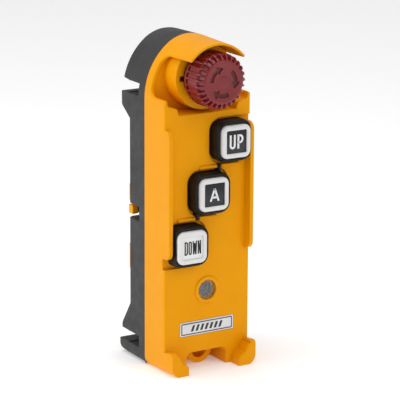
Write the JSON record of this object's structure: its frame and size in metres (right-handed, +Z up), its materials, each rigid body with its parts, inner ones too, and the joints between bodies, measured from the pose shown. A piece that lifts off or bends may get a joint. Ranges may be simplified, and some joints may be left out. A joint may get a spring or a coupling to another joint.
{
  "type": "pendant control station",
  "caption": "Cordless hand-held pendant control station with a twist-release emergency stop, push buttons in rubber boots, side guard rails and a battery cover.",
  "frame": {"origin": "middle of the base, on the plane where the front and rear housings meet", "axes": "+Z up the body, -Y out of the button face, +X to the right seen from the front"},
  "size_m": [0.0546, 0.064, 0.1813],
  "materials": {
    "yellow_plastic": "fine moulded satin",
    "grey_plastic": "fine textured matt",
    "red_plastic": "moulded semi-gloss",
    "black_rubber": "soft matt",
    "white_plastic": "smooth",
    "dark_legend": "printed insert",
    "light_legend": "printed insert",
    "clear_lens": "clear polycarbonate",
    "spacer_plastic": "moulded",
    "plate_metal": "satin with printed border",
    "black_plastic": "moulded",
    "steel": "zinc plated",
    "brass": "turned",
    "tinned_can": "tinned",
    "copper_wire": "enamelled copper",
    "board": "solder resist",
    "cell_wrap": "printed sleeve",
    "wire_sleeve": "insulation"
  },
  "bodies": {
    "root": {"antenna": "copper_wire", "battery_left": "cell_wrap", "battery_right": "cell_wrap", "battery_wires": "wire_sleeve", "board_screws": "steel", "button_boot_a": "black_rubber", "button_boot_down": "black_rubber", "button_boot_up": "black_rubber", "contact_plates": "steel", "contact_springs": "steel", "estop_bezel": "black_plastic", "estop_contact_block": "black_plastic", "estop_nut": "black_plastic", "estop_seal": "black_rubber", "estop_spring": "steel", "estop_wires": "wire_sleeve", "front_housing": "yellow_plastic", "housing_gasket": "black_rubber", "housing_screws": "steel", "led_spacer": "spacer_plastic", "led_window": "clear_lens", "main_board": "board", "microcontroller": "black_plastic", "nameplate": "plate_metal", "radio_module": "tinned_can", "rear_housing": "grey_plastic", "status_led": "clear_lens", "tact_switches": "black_plastic", "threaded_inserts": "brass"},
    "estop_slider": {"estop_latch_sleeve": "black_plastic"},
    "estop_head": {"estop_knob": "red_plastic", "estop_shaft": "steel", "estop_circlip": "steel"},
    "battery_lid": {"battery_cover": "yellow_plastic", "battery_cover_seal": "black_rubber"},
    "button_up": {"button_cap_up": "white_plastic", "legend_up": "dark_legend", "button_stem_up": "black_plastic", "switch_key_up": "black_plastic"},
    "button_a": {"button_cap_a": "white_plastic", "legend_a": "dark_legend", "button_stem_a": "black_plastic", "switch_key_a": "black_plastic"},
    "button_down": {"button_cap_down": "white_plastic", "legend_down": "light_legend", "button_stem_down": "black_plastic", "switch_key_down": "black_plastic"}
  },
  "joints": [
    {"name": "estop_push", "type": "slide", "parent": "root", "child": "estop_slider", "axis": [0, 1, 0], "range_m": [0, 0.0028], "deforming": ["estop_spring"]},
    {"name": "estop_twist", "type": "hinge", "parent": "estop_slider", "child": "estop_head", "pos_m": [0, -0.0277, 0.1604], "axis": [0, 1, 0], "range_deg": [0, 45]},
    {"name": "battery_cover_lift", "type": "slide", "parent": "root", "child": "battery_lid", "axis": [0, 1, 0], "range_m": [0, 0.03]},
    {"name": "button_up_press", "type": "slide", "parent": "root", "child": "button_up", "axis": [0, 1, 0], "range_m": [0, 0.002], "stiffness_N_per_m": 900},
    {"name": "button_a_press", "type": "slide", "parent": "root", "child": "button_a", "axis": [0, 1, 0], "range_m": [0, 0.002], "stiffness_N_per_m": 900},
    {"name": "button_down_press", "type": "slide", "parent": "root", "child": "button_down", "axis": [0, 1, 0], "range_m": [0, 0.002], "stiffness_N_per_m": 900}
  ]
}
